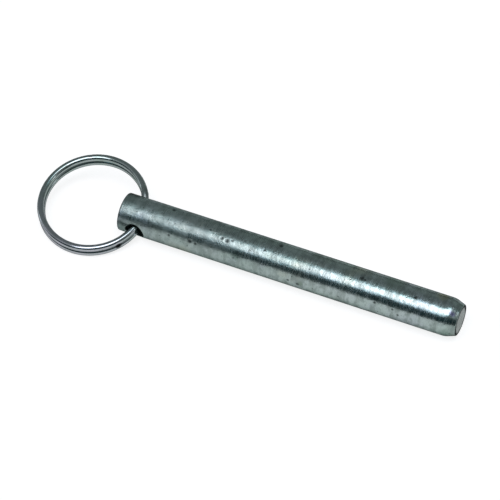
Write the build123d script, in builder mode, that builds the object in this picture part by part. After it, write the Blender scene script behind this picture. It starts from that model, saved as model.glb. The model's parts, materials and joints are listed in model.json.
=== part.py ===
from build123d import *

import os
from math import asin, atan2, cos, degrees, hypot, radians, sin

os.makedirs("parts", exist_ok=True)

# Hitch pin lock: a steel pin with a cross hole, and a split ring that passes through the hole and swings on it.
# The pin lies on its side along +X, ring end first; +Z is up, and the floor is one pin radius below the axis.

# Pin
PIN_DIAMETER = 15.875
PIN_LENGTH = 146.05
TIP_CHAMFER_LENGTH = 4.2
TIP_CHAMFER_DEPTH = 1.5
TIP_EDGE_RADIUS = 0.35
RING_END_BREAK = 0.4

# Cross hole
HOLE_DIAMETER = 8.25
HOLE_TO_RING_END = 7.62
HOLE_MOUTH_BREAK = 0.35

# Split ring: round wire wound twice, the two coils side by side
WIRE_DIAMETER = 2.9
COIL_GAP = 0.05
RING_RADIUS = 21.5  # to the centre of the wire
WIRE_END_BREAK = 0.3
STEP_ARC = 24.0  # degrees of turn in which the wire steps from one coil to the other
END_GAP_ARC = 1.6  # degrees between a wire end and the step beside it

# How the ring lies in the hole
RING_YAW = 4.2  # the ring's centre is off the pin's axis by this angle, seen square to the ring
RING_SHIFT = 0.25  # the ring stands this far towards the tip, so that its wire is clear of the hole's wall
LOWER_COIL_END = 34.0  # degrees round the ring from the tip direction to the end of the lower coil

pin_radius = PIN_DIAMETER / 2
wire_radius = WIRE_DIAMETER / 2
coil_pitch = WIRE_DIAMETER + COIL_GAP

# The origin is on the pin's axis, midway between the hole and the tip's chamfer.
shank_length = PIN_LENGTH - HOLE_TO_RING_END - HOLE_DIAMETER / 2 - TIP_CHAMFER_LENGTH
tip_x = shank_length / 2 + TIP_CHAMFER_LENGTH
ring_end_x = tip_x - PIN_LENGTH
hole_x = ring_end_x + HOLE_TO_RING_END

# The pin is rolled until the ring's near side touches the floor that the pin lies on.
ring_offset = RING_RADIUS * sin(radians(RING_YAW))
reach = RING_RADIUS + ring_offset
half_pitch = coil_pitch / 2
roll = degrees(asin((pin_radius - wire_radius) / hypot(reach, half_pitch)) - atan2(half_pitch, reach))

hole_direction = Vector(0, cos(radians(roll)), sin(radians(roll)))
ring_normal = Vector(0, -sin(radians(roll)), cos(radians(roll)))
ring_centre = (
    Vector(hole_x + RING_SHIFT, 0, 0)
    - Vector(1, 0, 0) * (RING_RADIUS * cos(radians(RING_YAW)))
    - hole_direction * ring_offset
)

with BuildPart() as pin:
    with BuildSketch(Plane.XY) as half_section:
        with BuildLine():
            Polyline(
                (ring_end_x, 0),
                (ring_end_x, pin_radius - RING_END_BREAK),
                (ring_end_x + RING_END_BREAK, pin_radius),
                (tip_x - TIP_CHAMFER_LENGTH, pin_radius),
                (tip_x, pin_radius - TIP_CHAMFER_DEPTH),
                (tip_x, 0),
                close=True,
            )
        make_face()
        tip_corner = half_section.vertices().group_by(Axis.X)[-1].sort_by(Axis.Y)[-1]
        fillet(tip_corner, radius=TIP_EDGE_RADIUS)
    revolve(axis=Axis.X)
    with BuildSketch(Plane(origin=(hole_x, 0, 0), x_dir=(1, 0, 0), z_dir=hole_direction)):
        Circle(HOLE_DIAMETER / 2)
    extrude(amount=PIN_DIAMETER, both=True, mode=Mode.SUBTRACT)
    hole_wall = pin.faces().filter_by(GeomType.CYLINDER).sort_by(lambda face: face.radius)[0]
    chamfer(hole_wall.edges().filter_by(GeomType.LINE, reverse=True), length=HOLE_MOUTH_BREAK)
pin.part.label = "pin"
export_step(pin.part, "parts/pin.step")

# The wire runs round the upper coil, steps down inside the hole, and runs round the lower coil.
step_start = LOWER_COIL_END - END_GAP_ARC
step_end = step_start - STEP_ARC
upper_coil_end = step_end - END_GAP_ARC
ring_plane = Plane(origin=ring_centre, x_dir=(1, 0, 0), z_dir=ring_normal)

with BuildPart() as split_ring:
    with BuildLine(ring_plane) as wire_path:
        upper_coil = CenterArc(
            center=(0, 0, half_pitch),
            radius=RING_RADIUS,
            start_angle=upper_coil_end,
            arc_size=step_start - upper_coil_end - 360,
        )
        lower_coil = CenterArc(
            center=(0, 0, -half_pitch),
            radius=RING_RADIUS,
            start_angle=step_end,
            arc_size=LOWER_COIL_END - step_end - 360,
        )
        Spline(upper_coil @ 1, lower_coil @ 0, tangents=(upper_coil % 1, lower_coil % 0))
    with BuildSketch(Plane(origin=upper_coil @ 0, z_dir=upper_coil % 0)):
        Circle(wire_radius)
    sweep(path=wire_path.wires()[0])
    end_faces = split_ring.faces().filter_by(GeomType.PLANE)
    chamfer(end_faces.edges(), length=WIRE_END_BREAK)
split_ring.part.label = "split_ring"
export_step(split_ring.part, "parts/split_ring.step")
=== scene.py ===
"""Looks of the hitch pin lock: a worn zinc-plated pin and a bright split ring, on a pale studio floor."""

import json
import math
import random

import bmesh
import bpy
from mathutils import Matrix, Vector


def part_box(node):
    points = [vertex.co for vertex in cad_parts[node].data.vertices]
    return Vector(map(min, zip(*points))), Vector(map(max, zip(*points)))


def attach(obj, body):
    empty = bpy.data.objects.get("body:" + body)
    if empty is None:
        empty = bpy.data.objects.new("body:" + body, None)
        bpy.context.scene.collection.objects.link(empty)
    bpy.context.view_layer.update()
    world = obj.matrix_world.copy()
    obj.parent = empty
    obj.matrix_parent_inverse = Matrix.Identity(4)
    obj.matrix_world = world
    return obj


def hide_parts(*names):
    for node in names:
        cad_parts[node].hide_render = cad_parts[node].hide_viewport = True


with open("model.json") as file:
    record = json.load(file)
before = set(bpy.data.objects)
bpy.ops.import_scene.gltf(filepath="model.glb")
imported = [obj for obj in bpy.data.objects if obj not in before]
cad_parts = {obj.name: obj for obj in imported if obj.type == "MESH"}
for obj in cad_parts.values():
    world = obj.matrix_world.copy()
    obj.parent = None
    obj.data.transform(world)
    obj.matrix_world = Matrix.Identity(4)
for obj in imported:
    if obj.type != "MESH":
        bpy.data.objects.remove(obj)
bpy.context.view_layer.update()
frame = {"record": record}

MM = 0.001
DEGREE = math.pi / 180

record = frame["record"]
swing = record["behaviour"]["joints"][0]
shank = next(m for m in record["mounts"] if m["name"] == "shank")

pin_low, pin_high = (Vector(corner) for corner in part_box("pin"))
ring_low, ring_high = (Vector(corner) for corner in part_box("split_ring"))

# The pin lies along X. The hole's axis points to the far mouth, and the ring's axis is square to both.
ALONG = Vector((1, 0, 0))
HOLE_AXIS = Vector(swing["axis"]).normalized()
RING_AXIS = ALONG.cross(HOLE_AXIS)
HOLE_X = swing["pos_m"][0]

PIN_RADIUS = shank["dims"]["r_mm"] * MM
RING_END = pin_low.x
TIP = pin_high.x
LENGTH = TIP - RING_END
HOLE_RADIUS = 4.125 * MM
FLOOR_Z = pin_low.z


# ---------------------------------------------------------------- pin

RING_END_BREAK = 0.4 * MM
TIP_CHAMFER_LENGTH = 4.2 * MM
TIP_CHAMFER_DEPTH = 1.5 * MM
TIP_SLOPE = math.atan2(TIP_CHAMFER_DEPTH, TIP_CHAMFER_LENGTH)
TIP_EDGE_RADIUS = 0.35 * MM
SHOULDER_RADIUS = 7.0 * MM  # rounds the chamfer's start
MOUTH_BREAK = 0.35 * MM
MOUTH_RADIUS = HOLE_RADIUS + MOUTH_BREAK

# Mesh of the turned outline
COLUMNS = 180  # round the pin
COLUMN_ANGLE = 2 * math.pi / COLUMNS
ROW_SPACING = 0.5 * MM  # along the shank
LEAD_ROWS = 3  # of the straight wall, before the mouths' squares
SHOULDER_STEPS = 8
CONE_STEPS = 6
TIP_EDGE_STEPS = 6
RING_END_STEPS = 5
FACE_SHARES = (0.15, 0.4, 0.65, 0.85, 0.97)  # of a flat end's radius, at its circles of vertices

# Mesh of the cross hole: each mouth sits in a square cut out of the wall
PATCH_COLUMNS = 24  # each side of the hole's axis
PATCH_ROWS = 12  # each way along the pin from the hole's centre
PATCH_RINGS = 7  # between the square's edge and the mouth
PATCH_CROWDING = 1.4  # above 1 the rings crowd towards the mouth
RIM_RINGS = 4
WALL_RINGS = 14

# Nicks seen on the side that faces the camera: share of the length from the ring end, angle up from
# the front of the pin, radius and depth. Dirt has darkened each of them.
NICKS = [
    (0.145, 107, 0.90 * MM, 0.16 * MM),
    (0.158, 24, 0.60 * MM, 0.10 * MM),
    (0.222, 27, 1.05 * MM, 0.20 * MM),
    (0.238, 24, 0.70 * MM, 0.14 * MM),
    (0.268, 78, 0.60 * MM, 0.10 * MM),
    (0.307, 64, 0.90 * MM, 0.16 * MM),
    (0.322, 61, 1.05 * MM, 0.20 * MM),
    (0.337, 66, 0.60 * MM, 0.11 * MM),
    (0.433, 70, 0.65 * MM, 0.11 * MM),
    (0.470, 102, 1.00 * MM, 0.18 * MM),
    (0.517, 2, 0.70 * MM, 0.12 * MM),
    (0.545, -3, 0.90 * MM, 0.14 * MM),
    (0.716, 81, 1.05 * MM, 0.20 * MM),
    (0.726, 78, 0.60 * MM, 0.12 * MM),
    (0.770, 23, 0.65 * MM, 0.12 * MM),
    (0.822, 19, 0.60 * MM, 0.10 * MM),
    (0.839, 5, 0.60 * MM, 0.10 * MM),
    (0.873, 75, 0.85 * MM, 0.15 * MM),
]

# Small clean nicks at random places between the cross hole and the tip's chamfer
STRAY_NICKS = 70
STRAY_SEED = 7
STRAY_START = HOLE_X + 8 * MM
STRAY_RADII = (0.30, 0.55)  # millimetres
STRAY_DEPTHS = (0.06, 0.14)  # shares of the radius

# Shape of a nick, with lengths in its own radius and heights in its own depth
NICK_REACH = 2.5
BOWL_STEEPNESS = 2.5
LIP_PLACE = 1.15
LIP_HEIGHT = 0.12
LIP_STEEPNESS = 6
DENTED_RADIUS = 0.8 * PIN_RADIUS  # nicks leave the tip's flat face, which lies inside this radius, alone


def around(angle):
    """The direction square to the pin, at this angle from the hole's far mouth."""
    return HOLE_AXIS * math.cos(angle) + RING_AXIS * math.sin(angle)


def angle_of(direction):
    return math.atan2(direction.dot(RING_AXIS), direction.dot(HOLE_AXIS))


def front_facing(rise):
    """The direction square to the pin that is this many degrees up from its front."""
    return Vector((0, -math.cos(rise * DEGREE), math.sin(rise * DEGREE)))


def on_wall(share, rise):
    return ALONG * (RING_END + share * LENGTH) + front_facing(rise) * PIN_RADIUS


def all_nicks():
    """(place along X, angle round the pin, radius, depth) of each nick, the strays spread at random."""
    nicks = []
    for share, rise, radius, depth in NICKS:
        nicks.append((RING_END + share * LENGTH, angle_of(front_facing(rise)), radius, depth))
    spread = random.Random(STRAY_SEED)
    for _ in range(STRAY_NICKS):
        x = spread.uniform(STRAY_START, TIP - TIP_CHAMFER_LENGTH)
        radius = spread.uniform(*STRAY_RADII) * MM
        angle = spread.uniform(-math.pi, math.pi)
        depth = radius * spread.uniform(*STRAY_DEPTHS)
        nicks.append((x, angle, radius, depth))
    return nicks


def dent(x, angle, nicks):
    """How far the nicks push the pin's wall in at this place: a small bowl with a slightly raised lip."""
    depth_here = 0.0
    for nick_x, nick_angle, radius, depth in nicks:
        along = x - nick_x
        if abs(along) > NICK_REACH * radius:
            continue
        turn = (angle - nick_angle + math.pi) % (2 * math.pi) - math.pi
        away = math.hypot(along, turn * PIN_RADIUS) / radius
        if away < NICK_REACH:
            bowl = math.exp(-BOWL_STEEPNESS * away**2)
            lip = LIP_HEIGHT * math.exp(-LIP_STEEPNESS * (away - LIP_PLACE) ** 2)
            depth_here += depth * (bowl - lip)
    return depth_here


def quarter_round(centre_x, centre_r, radius, start, stop, steps):
    """Points of an arc in the half section, at angles from +X towards the wall."""
    turns = (start + (stop - start) * i / steps for i in range(steps + 1))
    return [(centre_x + radius * math.cos(t), centre_r + radius * math.sin(t)) for t in turns]


def ring_end_outline():
    """(x, radius) from near the centre of the ring end's face to the start of the straight wall."""
    inner = PIN_RADIUS - RING_END_BREAK
    face = [(RING_END, inner * share) for share in FACE_SHARES]
    centre_x = RING_END + RING_END_BREAK
    arc = quarter_round(centre_x, inner, RING_END_BREAK, math.pi, math.pi / 2, RING_END_STEPS)
    return face + arc[:-1]


def shank_rows():
    """Places along X of the rows of vertices on the straight wall, with the mouths' squares on whole rows."""
    start = RING_END + RING_END_BREAK
    patch_start = HOLE_X - PATCH_ROWS * ROW_SPACING
    rows = [start + (patch_start - start) * i / LEAD_ROWS for i in range(LEAD_ROWS)]
    rows += [HOLE_X + i * ROW_SPACING for i in range(-PATCH_ROWS, PATCH_ROWS + 1)]
    end = shoulder()[0][0]
    steps = round((end - rows[-1]) / ROW_SPACING)
    rows += [rows[-1] + (end - rows[-1]) * i / steps for i in range(1, steps + 1)]
    return rows


def shoulder():
    """(x, radius) over the rounded corner between the straight wall and the tip's chamfer."""
    lead = SHOULDER_RADIUS * math.tan(TIP_SLOPE / 2)
    centre_x = TIP - TIP_CHAMFER_LENGTH - lead
    centre_r = PIN_RADIUS - SHOULDER_RADIUS
    upright = math.pi / 2
    return quarter_round(centre_x, centre_r, SHOULDER_RADIUS, upright, upright - TIP_SLOPE, SHOULDER_STEPS)


def tip_outline():
    """(x, radius) from just past the straight wall to near the centre of the tip's face."""
    # the small arc meets the cone and the flat face
    square_to_cone = math.pi / 2 - TIP_SLOPE
    tangent = TIP_EDGE_RADIUS * math.tan(square_to_cone / 2)
    centre_r = PIN_RADIUS - TIP_CHAMFER_DEPTH - tangent
    arc = quarter_round(TIP - TIP_EDGE_RADIUS, centre_r, TIP_EDGE_RADIUS, square_to_cone, 0, TIP_EDGE_STEPS)
    rounded = shoulder()[1:]
    start, stop = Vector(rounded[-1]), Vector(arc[0])
    cone = [tuple(start.lerp(stop, i / CONE_STEPS)) for i in range(1, CONE_STEPS)]
    face = [(TIP, centre_r * share) for share in reversed(FACE_SHARES)]
    return rounded + cone + arc + face


def in_patch(row, column, first_patch_row):
    """Is this vertex strictly inside one of the two squares kept for the hole's mouths?"""
    if not first_patch_row < row < first_patch_row + 2 * PATCH_ROWS:
        return False
    half = COLUMNS // 2
    off = min((column - centre) % COLUMNS for centre in (0, half))
    back = min((centre - column) % COLUMNS for centre in (0, half))
    return min(off, back) < PATCH_COLUMNS


def patch_cell(row, column, first_patch_row):
    """Is the cell between this row and column and the next inside a mouth's square?"""
    if not first_patch_row <= row < first_patch_row + 2 * PATCH_ROWS:
        return False
    half = COLUMNS // 2
    for centre in (0, half):
        off = (column - centre + half) % COLUMNS - half
        if -PATCH_COLUMNS <= off < PATCH_COLUMNS:
            return True
    return False


def patch_loop():
    """(row steps, column steps) from the mouth's centre, once round the square's edge."""
    rows, columns = PATCH_ROWS, PATCH_COLUMNS
    loop = [(rows, c) for c in range(-columns, columns)]
    loop += [(r, columns) for r in range(rows, -rows, -1)]
    loop += [(-rows, c) for c in range(columns, -columns, -1)]
    loop += [(r, -columns) for r in range(-rows, rows)]
    return loop


def patch_point(side, row_step, column_step, turn, share):
    """A point of the wall, this share of the way from the square's edge to the mouth."""
    mouth_x = MOUTH_RADIUS * math.cos(turn)
    mouth_angle = math.asin(MOUTH_RADIUS * math.sin(turn) / PIN_RADIUS)
    x = HOLE_X + row_step * ROW_SPACING * (1 - share) + mouth_x * share
    angle = column_step * COLUMN_ANGLE * (1 - share) + mouth_angle * share
    direction = HOLE_AXIS * (side * math.cos(angle)) + RING_AXIS * math.sin(angle)
    return ALONG * x + direction * PIN_RADIUS


def rim_point(side, turn, share):
    """A point of the rolled rim, this share of the way over from the pin's wall to the hole's."""
    outer_across = MOUTH_RADIUS * math.sin(turn)
    inner_across = HOLE_RADIUS * math.sin(turn)
    outer_height = math.sqrt(PIN_RADIUS**2 - outer_across**2)
    corner_height = math.sqrt(PIN_RADIUS**2 - inner_across**2)
    inner_height = corner_height - MOUTH_BREAK
    # a curve that leaves along the pin's wall and arrives along the hole's
    start, corner, stop = (1 - share) ** 2, 2 * share * (1 - share), share**2
    radius = start * MOUTH_RADIUS + corner * HOLE_RADIUS + stop * HOLE_RADIUS
    height = start * outer_height + corner * corner_height + stop * inner_height
    offset = ALONG * (HOLE_X + radius * math.cos(turn)) + RING_AXIS * (radius * math.sin(turn))
    return offset + HOLE_AXIS * (side * height)


def mouth_rings(mesh, side, loop, edge_vertices):
    """Rings of vertices from the square's edge in over the mouth's rim.

    side is 1 for the far mouth and -1 for the near one.
    """
    turns = [math.atan2(c * COLUMN_ANGLE * PIN_RADIUS, r * ROW_SPACING) for r, c in loop]
    rings = [edge_vertices]
    for step in range(1, PATCH_RINGS + 1):
        share = 1 - (1 - step / PATCH_RINGS) ** PATCH_CROWDING
        points = (patch_point(side, r, c, turn, share) for (r, c), turn in zip(loop, turns))
        rings.append([mesh.verts.new(point) for point in points])
    for step in range(1, RIM_RINGS + 1):
        rings.append([mesh.verts.new(rim_point(side, turn, step / RIM_RINGS)) for turn in turns])
    return rings


def bridge(mesh, one, other):
    """Faces between two closed loops of the same length."""
    count = len(one)
    for i in range(count):
        j = (i + 1) % count
        mesh.faces.new((one[i], one[j], other[j], other[i]))


def wall_grid(mesh, outline, first_wall_row, first_patch_row):
    """Vertices of the turned and dented outline by row and column, without the insides of the two squares."""
    nicks = all_nicks()
    grid = {}
    for row, (x, radius) in enumerate(outline):
        dented = first_wall_row <= row and radius > DENTED_RADIUS
        for column in range(COLUMNS):
            if in_patch(row, column, first_patch_row):
                continue
            angle = 2 * math.pi * column / COLUMNS
            pushed = dent(x, angle, nicks) if dented else 0.0
            grid[row, column] = mesh.verts.new(ALONG * x + around(angle) * (radius - pushed))
    return grid


def cover_grid(mesh, grid, row_count, first_patch_row):
    """Faces over the turned outline, outside the two squares, and over both flat ends."""
    for row in range(row_count - 1):
        for column in range(COLUMNS):
            after = (column + 1) % COLUMNS
            corners = [(row, column), (row, after), (row + 1, after), (row + 1, column)]
            if all(corner in grid for corner in corners) and not patch_cell(row, column, first_patch_row):
                mesh.faces.new([grid[corner] for corner in corners])
    for row, x in ((0, RING_END), (row_count - 1, TIP)):
        centre = mesh.verts.new(ALONG * x)
        for column in range(COLUMNS):
            mesh.faces.new((centre, grid[row, column], grid[row, (column + 1) % COLUMNS]))


def cut_hole(mesh, grid, centre_row):
    """The cross hole's two mouths, each inside its square, and the wall between them."""
    loop = patch_loop()
    rims = []
    for side, centre_column in ((1, 0), (-1, COLUMNS // 2)):
        edge = [grid[centre_row + r, (centre_column + side * c) % COLUMNS] for r, c in loop]
        rings = mouth_rings(mesh, side, loop, edge)
        for one, other in zip(rings, rings[1:]):
            bridge(mesh, one, other)
        rims.append(rings[-1])
    far, near = rims
    previous = far
    for step in range(1, WALL_RINGS):
        share = step / WALL_RINGS
        ring = [mesh.verts.new(a.co.lerp(b.co, share)) for a, b in zip(far, near)]
        bridge(mesh, previous, ring)
        previous = ring
    bridge(mesh, previous, near)


def finished(mesh, name):
    """The mesh as a smooth-shaded object with its normals facing out."""
    bmesh.ops.recalc_face_normals(mesh, faces=mesh.faces)
    data = bpy.data.meshes.new(name)
    mesh.to_mesh(data)
    mesh.free()
    for polygon in data.polygons:
        polygon.use_smooth = True
    piece = bpy.data.objects.new(name, data)
    bpy.context.collection.objects.link(piece)
    return piece


def build_pin():
    """The pin as one closed mesh: turned outline, dented wall, and a cross hole with rolled rims."""
    mesh = bmesh.new()
    start, wall, end = ring_end_outline(), shank_rows(), tip_outline()
    outline = start + [(x, PIN_RADIUS) for x in wall] + end
    first_patch_row = len(start) + LEAD_ROWS
    grid = wall_grid(mesh, outline, len(start), first_patch_row)
    cover_grid(mesh, grid, len(outline), first_patch_row)
    cut_hole(mesh, grid, first_patch_row + PATCH_ROWS)
    return finished(mesh, "pin_bar")


# ---------------------------------------------------------------- split ring

WIRE_RADIUS = 1.45 * MM
COIL_PITCH = 2.95 * MM
RING_RADIUS = (ring_high.x - ring_low.x) / 2 - WIRE_RADIUS
RING_CENTRE = (ring_low + ring_high) / 2
UPPER_COIL_START = 6.8  # degrees round the ring, from the tip direction towards the far mouth
COIL_ARC = 334.4
STEP_ARC = 24.0
WIRE_ARC = 2 * COIL_ARC + STEP_ARC
WIRE_END_BREAK = 0.3 * MM
STATION_ARC = 1.5  # degrees between the wire's stations
TANGENT_ARC = 0.05  # degrees each way over which the wire's direction is taken
WIRE_SIDES = 32

# Dressed end of the wire: share of its break, from the inside out, and share of the wire's radius there
DRESSED_END = [(0.25, 0.97), (0.6, 0.90), (1.0, 1 - WIRE_END_BREAK / WIRE_RADIUS)]

# Marks left by the tool that spread the coils: degrees from the wire's start, angle round the wire
# from the outside towards the upper side, half length along it in degrees, and depth
TOOL_MARKS = [
    (WIRE_ARC - 287.5, 45, 2.4, 0.40 * MM),
    (UPPER_COIL_START + 38.5, -45, 2.4, 0.40 * MM),
    (140.0, -70, 2.0, 0.15 * MM),
    (250.0, 75, 1.5, 0.12 * MM),
    (470.0, -60, 1.8, 0.12 * MM),
]
MARK_REACH = 1.6  # half lengths out to which a mark presses the wire
MARK_STEEPNESS = 2
MARK_WIDTH = 38  # degrees round the wire over which it fades

# Painted shade in the gap between the coils, and dirt with painted shade where the wire steps down into the
# hole: degrees round the ring from the tip direction towards the far mouth, distance out from the wire's
# centre, size, strength and colour
COIL_SHADE_AND_DIRT = [
    # painted shade: near-black in the gap between the coils at the notch
    (-38.5, 1.0 * MM, 1.8 * MM, 1.0, (0.02, 0.022, 0.022)),
    # dirt with painted shade, darker and rougher, where the wire steps down into the far mouth beside the pin
    (29.0, 0.3 * MM, 5.0 * MM, 0.7, (0.12, 0.13, 0.13)),
]


def round_ring(degrees):
    """The direction out from the ring's centre, at this angle from the tip towards the far mouth."""
    return ALONG * math.cos(degrees * DEGREE) + HOLE_AXIS * math.sin(degrees * DEGREE)


def wire_point(turned):
    """Centre of the wire after so many degrees from its start, with the outward direction there."""
    outward = round_ring(UPPER_COIL_START - turned)
    share = min(max((turned - COIL_ARC) / STEP_ARC, 0.0), 1.0)
    drop = share**3 * (10 - 15 * share + 6 * share**2)  # a smooth step from 0 to 1
    height = COIL_PITCH * (0.5 - drop)
    return RING_CENTRE + outward * RING_RADIUS + RING_AXIS * height, outward


def mark_depth(turned, side):
    """How far the tool marks press the wire in, at this place along it and this angle round it."""
    depth = 0.0
    for place, facing, half_arc, deepest in TOOL_MARKS:
        along = (turned - place) / half_arc
        off = (side / DEGREE - facing + 180) % 360 - 180
        if abs(along) < MARK_REACH:
            depth += deepest * math.exp(-MARK_STEEPNESS * along**4) * math.exp(-((off / MARK_WIDTH) ** 2))
    return depth


def wire_stations():
    """(degrees from the wire's start, share of its full radius) of each loop of vertices."""
    steps = round(WIRE_ARC / STATION_ARC)
    end_arc = WIRE_END_BREAK / RING_RADIUS / DEGREE
    head = [(end_arc * (1 - inset), size) for inset, size in reversed(DRESSED_END)]
    middle = [(WIRE_ARC * i / steps, 1.0) for i in range(1, steps)]
    tail = [(WIRE_ARC - end_arc * (1 - inset), size) for inset, size in DRESSED_END]
    return head + middle + tail


def wire_loop(mesh, turned, size):
    """The vertices round the wire at one station."""
    centre, outward = wire_point(turned)
    ahead, _ = wire_point(turned + TANGENT_ARC)
    behind, _ = wire_point(turned - TANGENT_ARC)
    upward = (ahead - behind).cross(outward).normalized()
    if upward.dot(RING_AXIS) < 0:
        upward = -upward
    loop = []
    for side_step in range(WIRE_SIDES):
        side = 2 * math.pi * side_step / WIRE_SIDES
        radius = WIRE_RADIUS * size - mark_depth(turned, side)
        spoke = outward * math.cos(side) + upward * math.sin(side)
        loop.append(mesh.verts.new(centre + spoke * radius))
    return loop


def build_ring():
    """The split ring as one closed tube along the wound wire, with dressed ends."""
    mesh = bmesh.new()
    loops = [wire_loop(mesh, turned, size) for turned, size in wire_stations()]
    for one, other in zip(loops, loops[1:]):
        bridge(mesh, one, other)
    for loop in (loops[0], loops[-1]):
        middle = mesh.verts.new(sum((v.co for v in loop), Vector()) / WIRE_SIDES)
        for i in range(WIRE_SIDES):
            mesh.faces.new((middle, loop[i], loop[(i + 1) % WIRE_SIDES]))
    return finished(mesh, "ring_wire")


# ---------------------------------------------------------------- materials

# Colours of the zinc plate
GREEN_GREY = (0.300, 0.378, 0.350)
BLUE_GREY = (0.345, 0.405, 0.400)
OLIVE = (0.33, 0.34, 0.25)
VIOLET = (0.28, 0.31, 0.39)
SMEAR = (0.18, 0.22, 0.205)
BLOTCH = (0.16, 0.20, 0.19)
# darker towards the ring end: partly tarnish, partly painted shade where the softbox's light is dimmer
TARNISH_AND_SHADE = (0.18, 0.23, 0.22)
PIT = (0.075, 0.09, 0.09)
DIRT = (0.045, 0.055, 0.055)
DARK_END_EDGE = (0.07, 0.085, 0.085)

# Colours of the bare flat ends
LIGHT_STEEL = (0.27, 0.32, 0.30)
DARK_STEEL = (0.13, 0.16, 0.15)
FACE_RIM = (0.05, 0.06, 0.06)

# Colours of the wire
GREENISH_NICKEL = (0.265, 0.325, 0.300)
BLUISH_NICKEL = (0.37, 0.375, 0.41)
DULL_NICKEL = (0.17, 0.185, 0.185)

# Brightness of each metal seen edge on
PLATE_EDGE = 0.24
FACE_EDGE = 0.62
FACE_RIM_EDGE = 0.20
WIRE_EDGE = 0.13

# Stains in the plate, and one painted shade at the chamfer's crease: share of the length, angle up from the
# front, size, strength and colour
STAINS_AND_SHADE = [
    (0.800, 107, 5.5 * MM, 0.60, (0.19, 0.26, 0.22)),
    (0.940, 112, 3.5 * MM, 0.60, (0.24, 0.25, 0.17)),
    (0.984, 62, 1.7 * MM, 0.80, (0.09, 0.085, 0.20)),
    # painted shade: a darker green crescent on the chamfer's crease, low on the front
    (0.975, -12, 3.0 * MM, 0.60, (0.12, 0.18, 0.15)),
    (0.358, 27, 2.4 * MM, 0.70, (0.10, 0.15, 0.13)),
    (0.552, 2, 1.8 * MM, 0.60, (0.14, 0.19, 0.15)),
    (0.012, 5, 3.2 * MM, 0.70, (0.11, 0.15, 0.14)),
]
RAGGEDNESS = 0.25  # of each stain's and the painted shade's edge, as a share of its size

# The plate is dull up to the first of these shares of the length, and bright from the second
DULL_UNTIL = 0.20
BRIGHT_FROM = 0.70

PITS_PER_METRE = 330
PLATE_ROUGHNESS = 0.12  # where it is cleanest


def grey(level):
    return (level, level, level)


class Nodes:
    """A small helper that adds nodes to a material or world and wires them up."""

    def __init__(self, owner):
        owner.use_nodes = True
        self.tree = owner.node_tree
        self.tree.nodes.clear()

    def add(self, kind, **values):
        node = self.tree.nodes.new(kind)
        for name, value in values.items():
            setattr(node, name, value)
        return node

    def join(self, output, socket):
        self.tree.links.new(output, socket)

    def surface(self):
        """A shader joined to the material's output."""
        shader = self.add("ShaderNodeBsdfPrincipled")
        output = self.add("ShaderNodeOutputMaterial")
        self.join(shader.outputs["BSDF"], output.inputs["Surface"])
        return shader

    def axes(self, vector):
        """The vector's outputs along X, Y and Z."""
        parts = self.add("ShaderNodeSeparateXYZ")
        self.join(vector, parts.inputs["Vector"])
        return parts.outputs

    def distance(self, vector, point):
        node = self.add("ShaderNodeVectorMath", operation="DISTANCE")
        self.join(vector, node.inputs[0])
        node.inputs[1].default_value = point
        return node.outputs["Value"]

    def noise(self, coordinates, scale, detail=4.0, roughness=0.55, stretch=(1, 1, 1), turn=(0, 0, 0)):
        """Noise from 0 to 1 with features about 1 / scale metres across, stretched along the axes."""
        mapping = self.add("ShaderNodeMapping")
        mapping.inputs["Scale"].default_value = [scale / s for s in stretch]
        mapping.inputs["Rotation"].default_value = [angle * DEGREE for angle in turn]
        self.join(coordinates, mapping.inputs["Vector"])
        noise = self.add("ShaderNodeTexNoise")
        noise.inputs["Scale"].default_value = 1.0
        noise.inputs["Detail"].default_value = detail
        noise.inputs["Roughness"].default_value = roughness
        self.join(mapping.outputs["Vector"], noise.inputs["Vector"])
        return noise.outputs["Fac"]

    def spread(self, value, from_low, from_high, to_low=0.0, to_high=1.0):
        """The value mapped from one range to another and held within it."""
        node = self.add("ShaderNodeMapRange", clamp=True)
        ranges = (("From Min", from_low), ("From Max", from_high), ("To Min", to_low), ("To Max", to_high))
        for name, number in ranges:
            node.inputs[name].default_value = number
        self.join(value, node.inputs["Value"])
        return node.outputs["Result"]

    def mix(self, share, low, high):
        """A colour between two, each a colour or another node's output."""
        node = self.add("ShaderNodeMix", data_type="RGBA")
        self.join(share, node.inputs["Factor"])
        for value, socket in ((low, node.inputs[6]), (high, node.inputs[7])):
            if isinstance(value, tuple):
                socket.default_value = value + (1,)
            else:
                self.join(value, socket)
        return node.outputs[2]

    def math(self, operation, one, other):
        node = self.add("ShaderNodeMath", operation=operation)
        for value, socket in ((one, node.inputs[0]), (other, node.inputs[1])):
            if isinstance(value, (int, float)):
                socket.default_value = value
            else:
                self.join(value, socket)
        return node.outputs[0]

    def bump(self, height, distance, below=None):
        """A bump of this height in metres, on top of another bump."""
        node = self.add("ShaderNodeBump")
        node.inputs["Distance"].default_value = distance
        self.join(height, node.inputs["Height"])
        if below is not None:
            self.join(below, node.inputs["Normal"])
        return node.outputs["Normal"]


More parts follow.
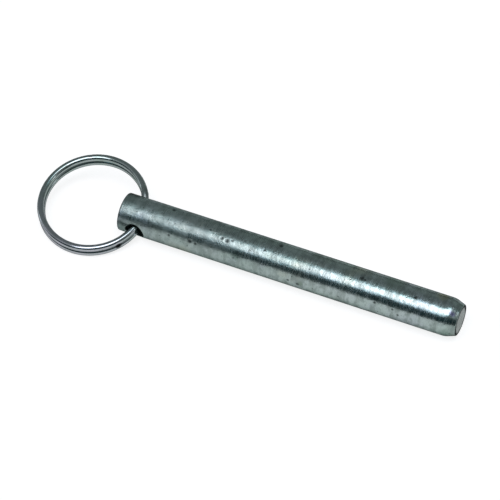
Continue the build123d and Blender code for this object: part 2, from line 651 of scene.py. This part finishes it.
class PlatePatterns:
    """The patterns that the plate's colour, roughness and relief are made from."""

    def __init__(self, nodes):
        self.place = place = nodes.add("ShaderNodeTexCoord").outputs["Object"]
        self.along = nodes.axes(place)["X"]
        dull_end = RING_END + DULL_UNTIL * LENGTH
        bright_start = RING_END + BRIGHT_FROM * LENGTH
        self.dull = nodes.spread(self.along, dull_end, bright_start, 1.0, 0.0)
        self.waves = nodes.noise(place, 140, detail=2, stretch=(2.5, 1, 1))
        self.hues = nodes.noise(place, 55, detail=3, turn=(40, 20, 0))
        self.clouds = nodes.noise(place, 90, detail=5, stretch=(1.6, 1, 1))
        self.blotches = nodes.noise(place, 460, detail=5, roughness=0.62, stretch=(1, 1.4, 1.4))
        self.worms = nodes.noise(place, 800, detail=3, roughness=0.6, stretch=(1.4, 1, 1))
        self.veins = nodes.noise(place, 420, detail=4, roughness=0.6, stretch=(2.6, 1, 1))
        self.comb = nodes.noise(place, 2200, detail=3, stretch=(1, 6, 6))
        self.smears = nodes.noise(place, 300, detail=4, roughness=0.6, stretch=(1, 3, 3))
        cells = nodes.add("ShaderNodeTexVoronoi")
        cells.inputs["Scale"].default_value = PITS_PER_METRE
        nodes.join(place, cells.inputs["Vector"])
        self.pits = nodes.spread(cells.outputs["Distance"], 0.05, 0.13, 1.0, 0.0)
        middle = (RING_END + TIP) / 2
        outward = nodes.math("ABSOLUTE", nodes.math("SUBTRACT", self.along, middle), 0)
        self.bare = nodes.spread(outward, LENGTH / 2 - 0.06 * MM, LENGTH / 2 - 0.02 * MM)


def plate_colour(nodes, plate):
    """Blue-grey and green-grey clouds under faint hues, smears, blotches, tarnish with painted shade towards
    the ring end, stains, painted shade on the chamfer's crease, dirt, pits and a darker ring-end edge.
    """
    colour = nodes.mix(nodes.spread(plate.clouds, 0.38, 0.62), GREEN_GREY, BLUE_GREY)
    washes = [
        (plate.hues, (0.56, 0.70, 0, 0.45), OLIVE),
        (plate.hues, (0.30, 0.42, 0.35, 0), VIOLET),
        (plate.smears, (0.48, 0.62, 0, 0.65), SMEAR),
        (plate.blotches, (0.48, 0.62, 0, 0.60), BLOTCH),
        # darker towards the ring end: partly tarnish, partly painted shade where the light is dimmer
        (plate.dull, (0, 1, 0.0, 0.30), TARNISH_AND_SHADE),
    ]
    for pattern, ranges, wash in washes:
        colour = nodes.mix(nodes.spread(pattern, *ranges), colour, wash)
    # stains, and the painted shade on the chamfer's crease
    for share, rise, size, strength, stain_and_shade in STAINS_AND_SHADE:
        ragged = nodes.spread(plate.blotches, 0.3, 0.7, -RAGGEDNESS * size, RAGGEDNESS * size)
        away = nodes.math("ADD", nodes.distance(plate.place, on_wall(share, rise)), ragged)
        colour = nodes.mix(nodes.spread(away, 0.45 * size, size, strength, 0.0), colour, stain_and_shade)
    for share, rise, radius, _ in NICKS:
        away = nodes.distance(plate.place, on_wall(share, rise))
        colour = nodes.mix(nodes.spread(away, 0.5 * radius, 1.1 * radius, 0.8, 0), colour, DIRT)
    colour = nodes.mix(nodes.math("MULTIPLY", plate.pits, 0.75), colour, PIT)
    # the ring end's rounded edge is painted darker
    edge = nodes.spread(plate.along, RING_END + 0.25 * MM, RING_END + 0.5 * MM, 0.8, 0.0)
    return nodes.mix(edge, colour, DARK_END_EDGE)


def face_rim(nodes, plate):
    """1 in the dark rim of both flat ends, and 0 inside it."""
    across = nodes.add("ShaderNodeVectorMath", operation="MULTIPLY")
    nodes.join(plate.place, across.inputs[0])
    across.inputs[1].default_value = (0, 1, 1)
    from_axis = nodes.add("ShaderNodeVectorMath", operation="LENGTH")
    nodes.join(across.outputs["Vector"], from_axis.inputs[0])
    ring_end_radius = PIN_RADIUS - RING_END_BREAK
    tip_radius = PIN_RADIUS - TIP_CHAMFER_DEPTH
    face_radius = nodes.spread(plate.along, RING_END, TIP, ring_end_radius, tip_radius)
    out = nodes.math("DIVIDE", from_axis.outputs["Value"], face_radius)
    wavy = nodes.math("ADD", out, nodes.spread(plate.blotches, 0.3, 0.7, -0.08, 0.08))
    return nodes.spread(wavy, 0.72, 0.86)


def plate_roughness(nodes, plate):
    """Fine streaks across the pin, clouds, frosted veins that are strongest on the dull end, and pits."""
    streaks = nodes.spread(plate.comb, 0.35, 0.65, 0.0, 0.13)
    clouded = nodes.math("ADD", nodes.spread(plate.clouds, 0.3, 0.7, 0.00, 0.05), streaks)
    veined = nodes.spread(plate.veins, 0.40, 0.62, 0.5, 1)
    frost = nodes.math("MULTIPLY", veined, nodes.spread(plate.dull, 0, 1, 0.02, 0.17))
    worn = nodes.math("ADD", clouded, frost)
    pitted = nodes.math("ADD", worn, nodes.math("MULTIPLY", plate.pits, 0.3))
    return nodes.math("ADD", pitted, PLATE_ROUGHNESS)


def plate_relief(nodes, plate):
    """Long soft waves, mottling, a fine comb across the pin, pits, and lathe rings on the flat ends."""
    relief = nodes.bump(plate.waves, 0.20 * MM)
    # each pattern has a share on the bright end, a share on the dull end, and a depth
    mottling = [
        (plate.blotches, 0.45, 0.30, 0.19 * MM),
        (plate.worms, 0.20, 0.35, 0.07 * MM),
        (plate.veins, 0.20, 1.0, 0.13 * MM),
    ]
    for pattern, bright_share, dull_share, depth in mottling:
        share = nodes.spread(plate.dull, 0, 1, bright_share, dull_share)
        relief = nodes.bump(nodes.math("MULTIPLY", pattern, share), depth, relief)
    relief = nodes.bump(plate.comb, 0.012 * MM, relief)
    relief = nodes.bump(nodes.math("MULTIPLY", plate.pits, -1), 0.05 * MM, relief)
    lathe = nodes.add("ShaderNodeTexWave", wave_type="RINGS", rings_direction="X")
    lathe.inputs["Scale"].default_value = 1000
    lathe.inputs["Distortion"].default_value = 1.5
    nodes.join(plate.place, lathe.inputs["Vector"])
    return nodes.bump(nodes.math("MULTIPLY", lathe.outputs["Fac"], plate.bare), 0.006 * MM, relief)


def zinc_plate():
    """Worn zinc plate, dull and mottled at the ring end and brighter to the tip, with bare flat ends."""
    material = bpy.data.materials.new("zinc_plate")
    nodes = Nodes(material)
    shader = nodes.surface()
    plate = PlatePatterns(nodes)
    rim = face_rim(nodes, plate)
    steel = nodes.mix(nodes.spread(plate.worms, 0.40, 0.62), LIGHT_STEEL, DARK_STEEL)
    face = nodes.mix(rim, steel, FACE_RIM)
    colour = nodes.mix(nodes.math("MULTIPLY", plate.bare, 0.9), plate_colour(nodes, plate), face)
    face_edge = nodes.mix(rim, grey(FACE_EDGE), grey(FACE_RIM_EDGE))
    nodes.join(colour, shader.inputs["Base Color"])
    nodes.join(nodes.mix(plate.bare, grey(PLATE_EDGE), face_edge), shader.inputs["Specular Tint"])
    nodes.join(plate_roughness(nodes, plate), shader.inputs["Roughness"])
    nodes.join(plate_relief(nodes, plate), shader.inputs["Normal"])
    shader.inputs["Metallic"].default_value = 1.0
    return material


def bright_wire():
    """Bright nickel plate, bluer on the ring's near side, with faint tarnish, painted shade between the
    coils, and dirt with painted shade where the wire steps into the hole.
    """
    material = bpy.data.materials.new("bright_wire")
    nodes = Nodes(material)
    shader = nodes.surface()
    place = nodes.add("ShaderNodeTexCoord").outputs["Object"]
    clouds = nodes.noise(place, 260, detail=4)
    grain = nodes.noise(place, 1500, detail=4)
    near = nodes.spread(nodes.axes(place)["Y"], RING_CENTRE.y - RING_RADIUS, RING_CENTRE.y, 0.6, 0.0)
    bluish = nodes.math("ADD", near, nodes.spread(clouds, 0.35, 0.65, 0.0, 0.4))
    colour = nodes.mix(bluish, GREENISH_NICKEL, BLUISH_NICKEL)
    colour = nodes.mix(nodes.spread(grain, 0.54, 0.72, 0, 0.7), colour, DULL_NICKEL)
    cloudy = nodes.spread(clouds, 0.3, 0.7, 0.06, 0.14)
    rough = nodes.math("ADD", cloudy, nodes.spread(grain, 0.4, 0.7, 0.0, 0.08))
    # painted shade between the coils, and dirt with painted shade by the far mouth
    for degrees, out, size, strength, shade_and_dirt in COIL_SHADE_AND_DIRT:
        away = nodes.distance(place, RING_CENTRE + round_ring(degrees) * (RING_RADIUS + out))
        share = nodes.spread(away, 0.6 * size, size, strength, 0)
        colour = nodes.mix(share, colour, shade_and_dirt)
        rough = nodes.math("ADD", rough, nodes.math("MULTIPLY", share, 0.4))
    relief = nodes.bump(clouds, 0.020 * MM)
    nodes.join(colour, shader.inputs["Base Color"])
    nodes.join(rough, shader.inputs["Roughness"])
    nodes.join(nodes.bump(grain, 0.005 * MM, relief), shader.inputs["Normal"])
    shader.inputs["Specular Tint"].default_value = grey(WIRE_EDGE) + (1,)
    shader.inputs["Metallic"].default_value = 1.0
    return material


# ---------------------------------------------------------------- studio

FLOOR_SIZE = 6.0
FLOOR_LEVEL = 0.30
FLOOR_ROUGHNESS = 0.9
FLOOR_GLOW = 0.80  # lit from below like a light table, so that shadows stay faint

# Light of the dim room, by the angle from the front horizon over the top to the back one
ROOM = [
    (0, (0.04, 0.06, 0.065)),
    (14, (0.022, 0.050, 0.057)),
    (32, (0.030, 0.062, 0.070)),
    (60, (0.28, 0.30, 0.30)),
    (100, (0.25, 0.28, 0.29)),
    (125, (0.22, 0.245, 0.255)),
    (158, (0.29, 0.33, 0.33)),
    (180, (0.15, 0.17, 0.175)),
]
# Colour of the softbox, bluish at its borders, by the same angle
SOFTBOX_OVER = [
    (39, (0.0, 0.0, 0.0)),
    (44, (0.20, 0.38, 0.50)),
    (50, (1.04, 1.0, 1.08)),
    (76, (1.04, 1.0, 1.08)),
    (82, (0.20, 0.38, 0.46)),
    (88, (0.0, 0.0, 0.0)),
]
# Share of its light by the sine of the angle towards the tip
SOFTBOX_ALONG = [
    (-1.0, 0.50),
    (-0.90, 0.14),
    (-0.60, 0.03),
    (-0.35, 0.06),
    (-0.280, 0.08),
    (-0.235, 1.0),
    (0.28, 1.0),
    (0.38, 0.0),
    (0.85, 0.06),
    (1.0, 0.50),
]
SOFTBOX_TURN = 30  # degrees that it climbs over one unit of that sine
SOFTBOX_PIVOT = -0.25  # the sine at which it stands at the angles above
SOFTBOX_STRENGTH = 4.6


def build_floor():
    data = bpy.data.meshes.new("studio_floor")
    half = FLOOR_SIZE / 2
    corners = [(-half, -half, FLOOR_Z), (half, -half, FLOOR_Z), (half, half, FLOOR_Z), (-half, half, FLOOR_Z)]
    data.from_pydata(corners, [], [(0, 1, 2, 3)])
    floor = bpy.data.objects.new("studio_floor", data)
    bpy.context.collection.objects.link(floor)
    material = bpy.data.materials.new("studio_floor")
    shader = Nodes(material).surface()
    shader.inputs["Base Color"].default_value = grey(FLOOR_LEVEL) + (1,)
    shader.inputs["Roughness"].default_value = FLOOR_ROUGHNESS
    shader.inputs["Specular IOR Level"].default_value = 0.0
    shader.inputs["Emission Color"].default_value = (1, 1, 1, 1)
    shader.inputs["Emission Strength"].default_value = FLOOR_GLOW
    data.materials.append(material)
    return floor


def ramp(nodes, value, stops):
    """The colour that the stops give at a value from 0 to 1."""
    node = nodes.add("ShaderNodeValToRGB")
    node.color_ramp.interpolation = "EASE"
    nodes.join(value, node.inputs["Fac"])
    elements = node.color_ramp.elements
    while len(elements) < len(stops):
        elements.new(0.5)
    for element, (position, _) in zip(elements, stops):
        element.position = position
    for element, (_, colour) in zip(elements, stops):
        element.color = colour + (1,)
    return node.outputs["Color"]


def build_sky():
    """A softbox over the pin, in a dim room."""
    world = bpy.data.worlds.new("studio")
    bpy.context.scene.world = world
    nodes = Nodes(world)
    axes = nodes.axes(nodes.add("ShaderNodeTexCoord").outputs["Generated"])
    sine = axes["X"]
    angle = nodes.math("ARCTAN2", axes["Z"], nodes.math("MULTIPLY", axes["Y"], -1))
    over = nodes.math("DIVIDE", angle, math.pi)
    climb = nodes.math("MULTIPLY", nodes.math("SUBTRACT", sine, SOFTBOX_PIVOT), SOFTBOX_TURN / 180)
    turned = nodes.math("SUBTRACT", over, climb)
    room = ramp(nodes, over, [(degrees / 180, colour) for degrees, colour in ROOM])
    box_over = ramp(nodes, turned, [(degrees / 180, colour) for degrees, colour in SOFTBOX_OVER])
    sines = nodes.spread(sine, -1, 1)
    box_along = ramp(nodes, sines, [((place + 1) / 2, grey(level)) for place, level in SOFTBOX_ALONG])
    background = nodes.add("ShaderNodeBackground")
    nodes.join(room, background.inputs["Color"])
    softbox = nodes.add("ShaderNodeBackground")
    softbox.inputs["Strength"].default_value = SOFTBOX_STRENGTH
    nodes.join(nodes.mix(box_along, (0.0, 0.0, 0.0), box_over), softbox.inputs["Color"])
    both = nodes.add("ShaderNodeAddShader")
    nodes.join(background.outputs["Background"], both.inputs[0])
    nodes.join(softbox.outputs["Background"], both.inputs[1])
    output = nodes.add("ShaderNodeOutputWorld")
    nodes.join(both.outputs["Shader"], output.inputs["Surface"])


# The camera looks from the front right, high up, through a long lens.
CAMERA_AZIMUTH = 24.17 * DEGREE
CAMERA_ELEVATION = 48.48 * DEGREE
CAMERA_ROLL = 0.56 * DEGREE
CAMERA_DISTANCE = 1129.1 * MM
CAMERA_AIM = Vector((-21.6, 0.92, 0)) * MM
CAMERA_LENS = 202.2
SENSOR_WIDTH = 36


def build_camera():
    data = bpy.data.cameras.new("camera")
    data.lens = CAMERA_LENS
    data.sensor_width = SENSOR_WIDTH
    camera = bpy.data.objects.new("camera", data)
    back = Vector(
        (
            math.sin(CAMERA_AZIMUTH) * math.cos(CAMERA_ELEVATION),
            -math.cos(CAMERA_AZIMUTH) * math.cos(CAMERA_ELEVATION),
            math.sin(CAMERA_ELEVATION),
        )
    )
    turn = back.to_track_quat("Z", "Y").to_matrix().to_4x4()
    place = Matrix.Translation(CAMERA_AIM + back * CAMERA_DISTANCE)
    camera.matrix_world = place @ turn @ Matrix.Rotation(-CAMERA_ROLL, 4, "Z")
    bpy.context.collection.objects.link(camera)
    bpy.context.scene.camera = camera


# ---------------------------------------------------------------- assembly

pin_bar = build_pin()
pin_bar.data.materials.append(zinc_plate())
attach(pin_bar, "pin")
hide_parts("pin")

ring_wire = build_ring()
ring_wire.data.materials.append(bright_wire())
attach(ring_wire, "split_ring")
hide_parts("split_ring")

build_floor()
build_sky()
build_camera()
bpy.context.scene.view_settings.view_transform = "Standard"
